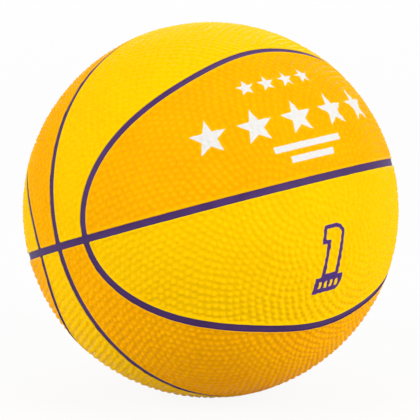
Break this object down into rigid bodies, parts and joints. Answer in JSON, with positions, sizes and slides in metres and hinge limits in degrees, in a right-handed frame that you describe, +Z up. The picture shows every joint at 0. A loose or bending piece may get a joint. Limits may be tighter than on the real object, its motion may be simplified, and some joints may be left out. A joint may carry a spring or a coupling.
{
  "type": "mini basketball",
  "caption": "Small inflated rubber basketball with pebbled yellow and orange panels, recessed purple seams, a wound inner layer, a bladder and a needle valve with a pull-out core.",
  "frame": {"origin": "centre of the small flat where the ball presses on the floor", "axes": "+Z up, +X to the right and -Y towards the viewer in the picture's pose, with the equator seam leaning as in the picture"},
  "size_m": [0.1298, 0.13, 0.1297],
  "materials": {
    "yellow_cover_rubber": "matte, moulded pebbles",
    "orange_cover_rubber": "matte, moulded pebbles",
    "purple_seam_rubber": "matte paint in a smooth channel",
    "carcass_rubber": "matte, moulded",
    "nylon_thread": "wound thread in latex",
    "butyl_rubber": "smooth, moulded",
    "valve_rubber": "smooth, moulded"
  },
  "bodies": {
    "ball": {"right_upper_side_panel": "orange_cover_rubber", "right_lower_side_panel": "yellow_cover_rubber", "left_upper_side_panel": "yellow_cover_rubber", "left_lower_side_panel": "orange_cover_rubber", "right_upper_band_panel": "yellow_cover_rubber", "right_lower_band_panel": "orange_cover_rubber", "left_upper_band_panel": "orange_cover_rubber", "left_lower_band_panel": "yellow_cover_rubber", "equator_seam": "purple_seam_rubber", "meridian_seam_upper": "purple_seam_rubber", "meridian_seam_lower": "purple_seam_rubber", "right_oval_seam_upper": "purple_seam_rubber", "right_oval_seam_lower": "purple_seam_rubber", "left_oval_seam_upper": "purple_seam_rubber", "left_oval_seam_lower": "purple_seam_rubber", "carcass_valve_half": "carcass_rubber", "carcass_closed_half": "carcass_rubber", "nylon_winding": "nylon_thread", "bladder": "butyl_rubber", "valve_housing": "valve_rubber"},
    "core": {"valve_core": "valve_rubber"}
  },
  "joints": [
    {"name": "valve_core_pull", "type": "slide", "parent": "ball", "child": "core", "axis": [-0.6117, 0.7904, -0.0325], "range_m": [0, 0.015]}
  ]
}
